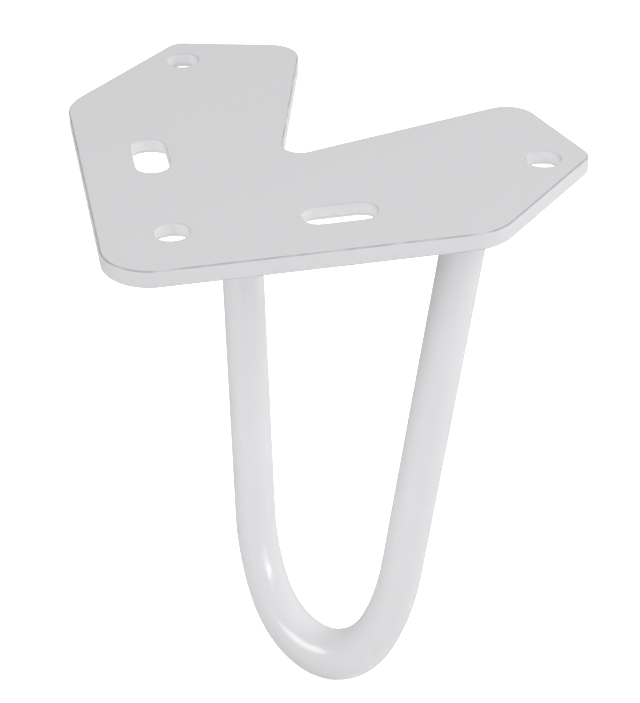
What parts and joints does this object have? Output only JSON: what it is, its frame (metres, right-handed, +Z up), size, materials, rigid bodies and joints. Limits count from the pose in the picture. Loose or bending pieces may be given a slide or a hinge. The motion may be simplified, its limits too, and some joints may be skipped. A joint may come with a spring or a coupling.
{
  "type": "hairpin table leg",
  "caption": "Short hairpin furniture leg: one round steel bar bent to a leaning loop and welded under a chevron corner plate with screw holes and slots.",
  "frame": {"origin": "centre of the corner screw hole, on the plate's top face", "axes": "+X and +Y along the plate's two outer edges, +Z up out of the top face into the tabletop"},
  "size_m": [0.107, 0.107, 0.15],
  "materials": {
    "white_powder_coat": "smooth satin white powder coat on steel, one coat over plate, bar and welds"
  },
  "bodies": {
    "root": {"mounting_plate": "white_powder_coat", "hairpin_rod": "white_powder_coat", "right_weld": "white_powder_coat", "left_weld": "white_powder_coat"}
  },
  "joints": []
}
